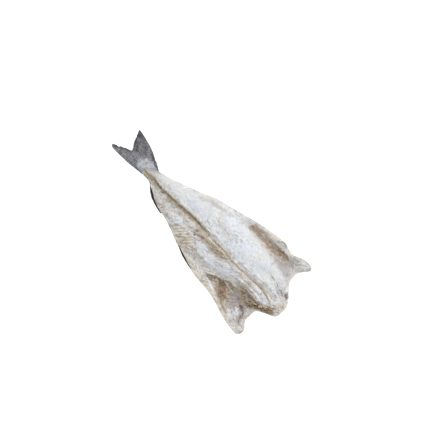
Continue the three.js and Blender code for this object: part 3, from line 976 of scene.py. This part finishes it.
tail_fin, across, along = grid_piece("tail_fin", FIN_STEPS)
reach = ray_lengths(across)
fray = 0.012 * rough(across * 60, np.zeros_like(across), 211) + 0.006 * np.cos(2 * np.pi * FIN_RAYS * across)
t = along * (reach + fray * eased(along, 0.6, 1))
left_x, left_y, right_x, right_y = fin_edges(t)
bend = across + 0.012 * np.sin(2 * np.pi * across) * along
fin_x = left_x + (right_x - left_x) * bend
fin_y = left_y + (right_y - left_y) * bend
fin_z = met_height(solid_surface, fin_x, fin_y, -1) - FIN_DEPTH - ROOT_DEPTH * eased(fin_x, 104, 128)

# At both sides of the root the fin droops to the skin under the stalk, so that no gap shows there.
middle = (left_y + right_y) / 2
stalk_under = met_height(solid_surface, fin_x, middle + 0.85 * (fin_y - middle), 1)
droop = eased(np.abs(across - 0.5), 0.28, 0.5) * eased(fin_x, 94, 118)
fin_z += droop * (stalk_under + ROOT_OVER_SKIN - fin_z)

# Ridges over the rays, pleats in the folded left lobe and ripples from drying.
rays = np.abs(np.sin(np.pi * FIN_RAYS * across))
branched = np.abs(np.sin(2 * np.pi * FIN_RAYS * across))
relief = 0.55 * (1 - rays * (1 - eased(along, 0.35, 0.7)) - branched * 0.6 * eased(along, 0.35, 0.7))
pleats = np.cos(2 * np.pi * across * 9.5) * eased(0.42 - across, 0, 0.16) * eased(along, 0.25, 0.75)
ripples = 1.1 * rough(fin_x / 24, fin_y / 13, 221) + 0.35 * rough(fin_x / 7, fin_y / 4, 231)
lobe_lift = 1.6 * eased(across, 0.8, 1) * eased(along, 0.5, 1)
fin_z += relief + 0.7 * pleats + ripples * eased(along, 0.1, 0.5) + lobe_lift
fin_z = np.maximum(fin_z, FIN_LOWEST)
tail_fin.data.vertices.foreach_set("co", to_frame(fin_x, fin_y, fin_z).ravel())
set_attribute(tail_fin.data, "ray", across * FIN_RAYS)
set_attribute(tail_fin.data, "run", along)
fin_canvas = Canvas(tail_fin.data)
fin_canvas.paint("pale", patches=[
    (1.0, 44, 5, [(140, 4), (126, 16), (110, 20), (94, 14), (84, 2), (88, -8), (104, -13), (134, -12)]),
    # A painted highlight on the right lobe.
    (0.4, 16, 5, [(84, 34), (100, 33), (114, 25), (104, 18), (88, 22)]),
    (0.32, 30, 3, [(14, -22), (40, -8), (70, 2), (96, -4), (96, -20), (60, -24), (24, -26)]),
])
fin_canvas.paint("edge", grit=0.6, strokes=[
    (1.0, 5, 0.3, [(22, -13), (34, -5), (48, 1), (53, 4)]),
    (0.9, 6, 0.3, [(53, 4), (48, 14), (42, 26), (34, 42), (27, 57)]),
    (0.6, 4, 0.3, [(4, -20), (12, -15), (22, -13)]),
    (0.8, 3, 0.3, [(126, -19), (108, -21), (88, -23)]),
    (0.7, 6, 0.5, [(140, 17), (128, 20), (116, 25)]),
    (0.5, 12, 0.9, [(64, 8), (56, 20), (46, 34)]),
    (0.5, 7, 1.2, [(70, 34), (78, 28), (84, 22)]),
    (0.4, 6, 1.2, [(96, 30), (108, 24), (118, 20)]),
], patches=[
    (0.6, 8, 4, [(138, 16), (126, 23), (112, 31), (96, 39), (96, 31), (112, 22), (126, 16)]),
    (0.6, 18, 3, [(24, 60), (30, 40), (40, 36), (52, 50), (40, 60)]),
    (0.45, 12, 3, [(0, -24), (14, -14), (26, -12), (20, -22), (10, -30)]),
])
thicken(tail_fin, FIN_THICKNESS, 0, 0.45 + 0.55 * (1 - along))
fin_surface = surface_of(tail_fin)
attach(tail_fin, "root")
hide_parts("salted_cod")


def fin_material(name, darkest, middle, palest):
    """Dried fin: ray streaks, blotches, a dark frayed edge, and where painted a pale root and a painted
    highlight.
    """
    material, place = new_material(name)
    rays = place.mask("ray")
    along = place.mask("run")
    plane = place.node("CombineXYZ", {}, {"X": rays * 1.3, "Y": along * 7.0})
    streak = plane.noise(1.0, 3, 0.6)
    blotch = place.noise(90, 4, 0.65, 0.8)
    speck = place.noise(380, 3, 0.65)
    tone = (streak * 0.2 + blotch * 0.45 + speck * 0.35).between(0.42, 0.6)
    colour = tone.mix(srgb(*darkest), srgb(*middle))
    pale = (place.mask("pale") * 1.25 + (blotch - 0.5) * 1.1 * place.mask("pale")).between(0.15, 1.0)
    root = (streak * 0.3 + speck * 0.3 + blotch * 0.4).between(0.4, 0.6)
    pale_tone = root.mix(srgb(*(c - 52 for c in palest)), srgb(*(c + 4 for c in palest)))
    colour = (pale * 0.9).mix(colour, pale_tone)
    edge = (place.mask("edge") + (blotch - 0.5) * place.mask("edge")).between(0.15, 0.9)
    colour = (edge * 0.85).mix(colour, srgb(*(c * 0.6 for c in darkest)))
    grain = streak * 0.6 + speck * 0.4
    finish(material, colour, 0.5 + (speck - 0.5) * 0.3, grain, 0.0006, Specular_IOR_Level=0.4)
    return material


tail_fin.data.materials.append(fin_material("dried tail fin", (84, 83, 87), (142, 143, 147), (218, 221, 229)))

# ---- The skin -----------------------------------------------------------------------------------
# The skin the fish lies on, which is left on the flesh: dark and blotched over the back, pale towards the
# belly's edges, with fine scales and a light line along each side. It is one thin sheet under the whole body.

SKIN_THICKNESS = 0.8
SKIN_LIFT = 0.12
SKIN_END = 113  # the station where it ends under the tail fin

skin = copy_of_solid("skin")
cut_away((SKIN_END, 0), (1, 0), closed=False)
select_faces(lambda face: face.normal.z > -0.5)
bpy.ops.mesh.delete(type="FACE")
bpy.ops.mesh.select_all(action="SELECT")
bpy.ops.mesh.subdivide(number_cuts=3)
bpy.ops.mesh.vertices_smooth(factor=0.5, repeat=6)
bpy.ops.object.mode_set(mode="OBJECT")
skin_canvas = Canvas(skin.data)
x, y = skin_canvas.x, skin_canvas.y
half_width = np.interp(x, [SKIN_END, 150, 200, 300, 400, 500, 600], [52, 40, 52, 78, 104, 120, 135])
out = np.clip(np.abs(y + 3) / half_width, 0, 1)
crinkle = 0.35 * np.abs(rough(x / 15, y / 5, 241)) + 0.12 * rough(x / 4, y / 2.6, 251)
skin_canvas.z = skin_canvas.z + SKIN_LIFT + DORSAL_ROOM * over_dorsal_fins(x, y, 0) + np.abs(crinkle)
side_line = np.interp(x, [130, 250, 400, 480, 540, 600], [0.12, 0.34, 0.40, 0.42, 0.36, 0.30])
lateral = 1 - eased(np.abs(out - side_line) * half_width, 0.6, 2.2)
skin_canvas.z += 0.2 * lateral

# Its end at the tail fin is ragged and rises to the fin's under side.
at_fin = 1 - eased(x, SKIN_END, 119)
tatters = 1.8 * rough(y / 3, np.zeros_like(y), 255)
skin_canvas.x = x + at_fin * (np.minimum(0.008 * (y + 4) ** 2, 5) - 6 + tatters)
skin_canvas.y = y - 0.2 * at_fin * (y + 4)
by_fin = 1 - eased(skin_canvas.x, 108, 128)
here = by_fin > 0
fin_under = met_height(fin_surface, skin_canvas.x[here], skin_canvas.y[here], 1)
skin_canvas.z[here] += by_fin[here] * (fin_under - 0.7 - skin_canvas.z[here])
skin_canvas.reshape()
set_attribute(skin.data, "belly", out)
set_attribute(skin.data, "side_line", lateral)
thicken(skin, SKIN_THICKNESS, -1)
skin_surface = surface_of(skin)
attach(skin, "root")
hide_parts("salted_cod")


def skin_material():
    material, place = new_material("dried cod skin")
    blotch = place.noise(75, 5, 0.65, 0.2)
    cloud = place.noise(24, 3, 0.5)
    freckle = place.noise(330, 3, 0.6)
    scales = place.node("TexVoronoi", {"feature": "F1"}, {"Vector": place, "Scale": 520.0})
    tone = blotch * 0.6 + freckle * 0.4
    belly = (place.mask("belly") + (cloud - 0.5) * 0.6 + (freckle - 0.5) * 0.4).between(0.42, 1.0)
    back = tone.between(0.38, 0.62).mix(srgb(56, 52, 45), srgb(124, 116, 100))
    pale = tone.between(0.36, 0.62).mix(srgb(158, 154, 146), srgb(208, 206, 201))
    colour = belly.mix(back, pale)
    colour = (place.mask("side_line") * 0.6).mix(colour, srgb(180, 173, 157))
    whitening = place.noise(200, 4, 0.7).between(0.55, 0.75) * 0.6
    colour = whitening.mix(colour, srgb(202, 200, 194))
    grain = scales * 0.8 + freckle * 0.5
    finish(material, colour, 0.48 + (freckle - 0.5) * 0.3, grain, 0.0006, Specular_IOR_Level=0.4)
    return material


skin.data.materials.append(skin_material())

# ---- The small fins -----------------------------------------------------------------------------
# Two anal fins stay on the left edge of the cut and show there as black slivers. Three dorsal fins lie
# pressed against the back under the fish, and a pectoral fin behind each collar bone. All are thin sheets
# with rays.

SMALL_FIN_THICKNESS = 0.5


def small_fin(name, base, rim, rise, rays):
    """A fin between two lines, its base and its rim, at the height rise(x, y, share out from the base)."""
    piece, out, along = grid_piece(name, (26, rays * 5))
    base, rim = smooth_line(base, 10), smooth_line(rim, 10)
    places = [np.linspace(0, 1, len(line)) for line in (base, rim)]
    x = (1 - out) * np.interp(along, places[0], base[:, 0]) + out * np.interp(along, places[1], rim[:, 0])
    y = (1 - out) * np.interp(along, places[0], base[:, 1]) + out * np.interp(along, places[1], rim[:, 1])
    y = y + 0.7 * out * rough(along * rays * 1.5, out * 2, 261)
    z = rise(x, y, out) + 0.18 * (1 - np.abs(np.sin(np.pi * rays * along)))
    piece.data.vertices.foreach_set("co", to_frame(x, y, z).ravel())
    set_attribute(piece.data, "ray", along * rays)
    set_attribute(piece.data, "run", out)
    set_attribute(piece.data, "pale", 0.25 * (1 - out))
    set_attribute(piece.data, "edge", eased(out, 0.7, 1))
    thicken(piece, SMALL_FIN_THICKNESS, 0)
    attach(piece, "root")
    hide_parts("salted_cod")
    return piece


black_fin = fin_material("black fin edge", (38, 38, 40), (62, 61, 60), (110, 108, 104))
grey_fin = fin_material("dried small fin", (66, 64, 60), (108, 104, 97), (160, 156, 148))

ANAL_EDGES = [
    ("anal_fin_rear", [(151, -23.5, 0.5), (162, -30.5, 1.0), (176, -39.5, 1.1), (192, -46.5, 1.0),
                       (208, -52.5, 0.75), (226, -58, 0.2)]),
    ("anal_fin_front", [(306, -77, 0.7), (326, -81.5, 1.1), (342, -87, 1.35), (358, -91.5, 1.45),
                        (376, -96, 1.35), (402, -102, 0.9)]),
]


def low_rise(x, y, out):
    """Just over the skin, with the rim curling up a little."""
    return np.minimum(met_height(skin_surface, x, y, 1) + 1.2, 3.2) + 1.6 * out**2


for name, edge in ANAL_EDGES:
    inner = [(a + 3, b + 9) for a, b, _ in edge]
    outer = [(a - 2.0 * reach, b + 1.0 - 4.4 * reach) for a, b, reach in edge]
    fin_piece = small_fin(name, inner, outer, low_rise, 22)
    fin_piece.data.materials.append(black_fin)

for number, (start, end, height) in enumerate(DORSAL_FINS, 1):
    shares = np.linspace(0, 1, 7)
    base = [(start + (end - start) * s, -4) for s in shares]
    rim = [(start - 16 + (end - start) * (s * 0.96), -4 - height * (0.42 + 0.58 * s**0.7) * (1 - 0.55 * s**6))
           for s in shares]
    fin_piece = small_fin(f"dorsal_fin_{number}", base, rim, lambda x, y, out: 1.1 - 0.65 * out, 18)
    fin_piece.data.materials.append(grey_fin)


def under_skin(x, y, out):
    """Against the skin's lower side, and clear of the table."""
    return np.maximum(met_height(skin_surface, x, y, 1) - 0.55, 0.35)


for name, sign in (("pectoral_fin_left", -1), ("pectoral_fin_right", 1)):
    base = [(562, sign * 92), (566, sign * 98), (569, sign * 104)]
    rim = [(508, sign * 84), (498, sign * 92), (500, sign * 100), (514, sign * 107)]
    fin_piece = small_fin(name, base, rim, under_skin, 18)
    fin_piece.data.materials.append(grey_fin)

# ---- The backbone's end -------------------------------------------------------------------------
# The last joints of the backbone stay in the stalk, split lengthwise: a row of small waisted bones, sunk in
# the flesh's tongue with their cut side up. Each is shaped from a short cylinder and laid along the groove.

SPINE = [(110, -7), (122, -7.5), (136, -8.5), (150, -11), (163, -13)]
SPINE_JOINTS = 9
JOINT_LENGTH = 5.6
SPLIT_FLATNESS = 0.62  # a joint's height over its width


def vertebra(name, place, turn, length, radius):
    """One waisted joint of the backbone, lying along the fish."""
    bpy.ops.object.select_all(action="DESELECT")
    bpy.ops.mesh.primitive_cylinder_add(vertices=20, radius=radius * MM, depth=length * MM)
    piece = bpy.context.object
    piece.name = name
    bpy.ops.object.mode_set(mode="EDIT")
    bpy.ops.mesh.select_all(action="SELECT")
    bpy.ops.mesh.bevel(offset=0.5 * MM, segments=2, affect="EDGES")
    bpy.ops.object.mode_set(mode="OBJECT")
    shape = bmesh.new()
    shape.from_mesh(piece.data)
    long_edges = [edge for edge in shape.edges if edge.calc_length() > length * MM * 0.6]
    bmesh.ops.subdivide_edges(shape, edges=long_edges, cuts=5)
    for vertex in shape.verts:
        waist = 0.72 + 0.28 * abs(vertex.co.z / (length * MM / 2)) ** 1.5
        vertex.co = Vector((vertex.co.z, vertex.co.y * waist, vertex.co.x * waist * SPLIT_FLATNESS))
    bmesh.ops.rotate(shape, verts=shape.verts, cent=(0, 0, 0), matrix=Matrix.Rotation(turn, 3, "Z"))
    bmesh.ops.translate(shape, verts=shape.verts, vec=place)
    bmesh.ops.recalc_face_normals(shape, faces=shape.faces)
    shape.to_mesh(piece.data)
    shape.free()
    piece.data.shade_smooth()
    return piece


flesh_surface = surface_of(flesh)
spine_line = smooth_line(SPINE, 12)
spine_run = np.concatenate([[0], np.cumsum(np.hypot(*np.diff(spine_line, axis=0).T))])
stops = np.linspace(3, spine_run[-1] - 2, SPINE_JOINTS)
spine_x = np.interp(stops, spine_run, spine_line[:, 0])
spine_y = np.interp(stops, spine_run, spine_line[:, 1])
spine_z = met_height(flesh_surface, spine_x, spine_y, -1)
spine_turn = math.atan2(*(spine_line[-1] - spine_line[0])[::-1])
joints = []
for number in range(SPINE_JOINTS):
    place = to_frame(spine_x[number], spine_y[number], spine_z[number] - 0.4)
    joints.append(vertebra(f"joint_{number}", Vector(place), spine_turn, JOINT_LENGTH, 2.5 + 0.12 * number))
bpy.ops.object.select_all(action="DESELECT")
for joint in joints:
    joint.select_set(True)
bpy.context.view_layer.objects.active = joints[0]
bpy.ops.object.join()
backbone_end = bpy.context.object
backbone_end.name = backbone_end.data.name = "backbone_end"
bpy.ops.object.transform_apply(location=True, rotation=True, scale=True)
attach(backbone_end, "root")
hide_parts("salted_cod")


def bone_material():
    material, place = new_material("dried bone")
    blotch = place.noise(180, 4, 0.6)
    grain = place.noise(900, 3, 0.6)
    colour = blotch.between(0.4, 0.6).mix(srgb(128, 116, 90), srgb(184, 174, 150))
    finish(material, colour, 0.5 + (grain - 0.5) * 0.3, grain, 0.0004, Specular_IOR_Level=0.4)
    return material


backbone_end.data.materials.append(bone_material())

# ---- The splinters at the nape ------------------------------------------------------------------
# Where the head was broken off, the stumps of the neck bones and their sinews stand out of the flesh on the
# left of the nape, dried hard and orange-brown. One splinter is drawn out of a cylinder, and the rest are
# copies of it.

SPLINTER_LINE = [(569, -49), (580, -44), (591, -38), (602, -31), (613, -21)]
SPLINTERS = 70
SPLINTER_LENGTH = (7, 18)
SPLINTER_WIDTH = (1.4, 3.4)


def splinter(name):
    """A sliver 1 mm long and 1 mm thick along X, thinning to both ends, to be stretched."""
    bpy.ops.object.select_all(action="DESELECT")
    bpy.ops.mesh.primitive_cylinder_add(vertices=7, radius=0.5, depth=1, rotation=(0, math.pi / 2, 0))
    piece = bpy.context.object
    piece.name = name
    bpy.ops.object.transform_apply(rotation=True)
    bpy.ops.object.mode_set(mode="EDIT")
    select_faces(lambda face: abs(face.normal.x) < 0.5)
    bpy.ops.mesh.subdivide(number_cuts=3)
    bpy.ops.mesh.select_all(action="SELECT")
    bpy.ops.mesh.vertices_smooth(factor=0.5, repeat=2)
    bpy.ops.object.mode_set(mode="OBJECT")
    return piece


def copies_of(model, name, places, turns, sizes, values):
    """One mesh of many copies of a small shape, each turned, stretched and put in its place."""
    shape = of_vertices(model.data, "co")
    faces = [tuple(face.vertices) for face in model.data.polygons]
    vertices, polygons = [], []
    for place, turn, size in zip(places, turns, sizes):
        turned = np.array(Euler(turn).to_matrix())
        first = len(vertices) * len(shape)
        polygons += [tuple(first + corner for corner in face) for face in faces]
        vertices.append((shape * size) @ turned.T + place)
    mesh = bpy.data.meshes.new(name)
    mesh.from_pydata(np.concatenate(vertices).tolist(), [], polygons)
    set_attribute(mesh, "tint", np.repeat(values, len(shape)))
    piece = bpy.data.objects.new(name, mesh)
    bpy.context.collection.objects.link(piece)
    bpy.data.objects.remove(model)
    return piece


dice = np.random.default_rng(301)
line = smooth_line(SPLINTER_LINE, 20)
picked = line[dice.integers(4, len(line) - 4, SPLINTERS)]
splinter_x = picked[:, 0] + dice.normal(0, 1.6, SPLINTERS)
splinter_y = picked[:, 1] + dice.normal(0, 3.2, SPLINTERS)
splinter_z = met_height(flesh_surface, splinter_x, splinter_y, -1) + dice.uniform(0.0, 1.3, SPLINTERS)
slant = np.arctan2(0.55, 0.82) + dice.normal(0, 0.35, SPLINTERS)
tilt = dice.normal(-0.06, 0.16, SPLINTERS)
lengths, widths = dice.uniform(*SPLINTER_LENGTH, SPLINTERS), dice.uniform(*SPLINTER_WIDTH, SPLINTERS)
splinters = copies_of(
    splinter("splinter"), "neck_splinters", to_frame(splinter_x, splinter_y, splinter_z),
    np.stack([dice.uniform(0, 6, SPLINTERS), tilt, slant], -1),
    np.stack([lengths, widths, widths * 0.6], -1) * MM, dice.uniform(0, 1, SPLINTERS),
)
splinters.data.shade_smooth()
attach(splinters, "root")
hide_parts("salted_cod")


def splinter_material():
    material, place = new_material("neck bone splinters")
    grain = place.noise(420, 3, 0.6)
    tone = place.mask("tint") * 0.8 + (grain - 0.5) * 1.2
    colour = tone.between(0.0, 0.4).mix(srgb(84, 58, 36), srgb(164, 128, 88))
    colour = tone.between(0.4, 0.7).mix(colour, srgb(230, 214, 184))
    finish(material, colour, 0.48 + (grain - 0.5) * 0.3, grain, 0.0005, Specular_IOR_Level=0.45)
    return material


splinters.data.materials.append(splinter_material())

# ---- The shreds of lining -----------------------------------------------------------------------
# Ragged strips of the swim bladder and the belly's lining, left along the groove where the backbone was
# pulled out. They dried curled up from the flesh, thin and cream. Each is a narrow sheet with one edge down.

SHRED_THICKNESS = 0.45
SHRED_CURL = 1.9  # radians, from its foot to its rim
SHREDS = [  # name, the line of its foot, width, rise, which side of the foot it leans to
    ("lining_shred_1", [(330, 1), (338, -1), (346, -4), (354, -6)], 5.5, 2.0, 1),
    ("lining_shred_2", [(356, -10), (370, -11), (384, -9), (396, -11)], 4.5, 2.2, -1),
    ("lining_shred_3", [(386, -10), (402, -10), (416, -8), (430, -3)], 5.5, 3.0, 1),
    ("lining_shred_4", [(418, -9), (428, -5), (436, -8), (446, -13)], 5.0, 3.4, 1),
    ("lining_shred_5", [(500, -49), (512, -44), (524, -39), (536, -36)], 4.5, 2.6, -1),
    ("lining_shred_6", [(546, -42), (552, -38), (560, -36), (570, -37)], 4.0, 2.8, 1),
]


def lining_material():
    material, place = new_material("dried lining")
    blotch = place.noise(260, 4, 0.6)
    grain = place.noise(900, 2, 0.6)
    colour = blotch.between(0.42, 0.58).mix(srgb(170, 155, 126), srgb(226, 216, 194))
    finish(material, colour, 0.5 + (grain - 0.5) * 0.3, blotch, 0.0006, Specular_IOR_Level=0.45)
    return material


dried_lining = lining_material()
for number, (name, foot, width, rise, side) in enumerate(SHREDS):
    shred, out, along = grid_piece(name, (9, 44))
    foot = smooth_line(foot, 12)
    shares = np.linspace(0, 1, len(foot))
    ragged = 0.6 + 0.45 * rough(along * 13, np.zeros_like(along), 311 + number)
    ragged += 0.25 * rough(along * 34, np.zeros_like(along), 331 + number)
    ragged = ragged * np.sin(np.pi * along) ** 0.5
    reach = width * ragged * np.sin(SHRED_CURL * out)
    x = np.interp(along, shares, foot[:, 0]) + 0.9 * rough(along * 9, out * 2, 341)
    y = np.interp(along, shares, foot[:, 1]) + side * reach
    z = met_height(flesh_surface, x, y, -1) - 0.3 + rise * ragged * (1 - np.cos(SHRED_CURL * out))
    shred.data.vertices.foreach_set("co", to_frame(x, y, z).ravel())
    thicken(shred, SHRED_THICKNESS, 0)
    shred.data.materials.append(dried_lining)
    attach(shred, "root")
    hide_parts("salted_cod")

# ---- The salt -----------------------------------------------------------------------------------
# Crystals of coarse salt left from the curing, more of them on the rough left side than on the right. One
# crystal is a cube with its edges worn off, and each grain is a copy of it at its own size and turn.

GRAINS = 1100
TRIED_PLACES = GRAINS * 40
GRAIN_SIZE = (0.55, 1.25)
GRAIN_STAND = 0.28  # its middle over the flesh, as a share of its size


def crystal():
    bpy.ops.object.select_all(action="DESELECT")
    bpy.ops.mesh.primitive_cube_add(size=1)
    bpy.ops.object.mode_set(mode="EDIT")
    bpy.ops.mesh.bevel(offset=0.12, segments=1, affect="EDGES")
    bpy.ops.object.mode_set(mode="OBJECT")
    return bpy.context.object


def lies_on(surface, x, y):
    """Whether a thing let fall at each place would land on a surface."""
    starts = to_frame(x, y, np.full(len(x), 60.0))
    falls = [surface.ray_cast(Vector(start), Vector((0, 0, -1)))[0] for start in starts]
    return np.array([landed is not None for landed in falls])


grain_x, grain_y = dice.uniform(130, 632, TRIED_PLACES), dice.uniform(-135, 135, TRIED_PLACES)
spots = 0.5 + 0.7 * rough(grain_x / 30, grain_y / 30, 351)
liking = np.clip(0.2 + 0.5 * eased(-grain_y, -6, 20) + 0.6 * (spots - 0.5), 0.03, 1)
half = np.interp(grain_x, [130, 160, 250, 350, 450, 560, 590, 632], [14, 22, 50, 80, 100, 116, 105, 24])
kept = (np.abs(grain_y) < half) & (dice.uniform(0, 1, len(grain_x)) < liking * 0.14)
kept[kept] = lies_on(flesh_surface, grain_x[kept], grain_y[kept])
grain_x, grain_y = grain_x[kept][:GRAINS], grain_y[kept][:GRAINS]
sizes = dice.uniform(*GRAIN_SIZE, len(grain_x))
grain_z = met_height(flesh_surface, grain_x, grain_y, -1) + sizes * GRAIN_STAND
salt = copies_of(
    crystal(), "salt_grains", to_frame(grain_x, grain_y, grain_z), dice.uniform(-3, 3, (len(grain_x), 3)),
    (sizes[:, None] * dice.uniform(0.8, 1.2, (len(grain_x), 3))) * MM, dice.uniform(0, 1, len(grain_x)),
)
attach(salt, "root")
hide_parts("salted_cod")


def salt_material():
    material, place = new_material("salt")
    haze = place.noise(1500, 2, 0.5)
    colour = (place.mask("tint") * 0.6 + haze * 0.4).mix(srgb(206, 208, 210), srgb(244, 246, 248))
    finish(material, colour, 0.28 + haze * 0.3, haze, 0.0001, Specular_IOR_Level=0.5)
    return material


salt.data.materials.append(salt_material())
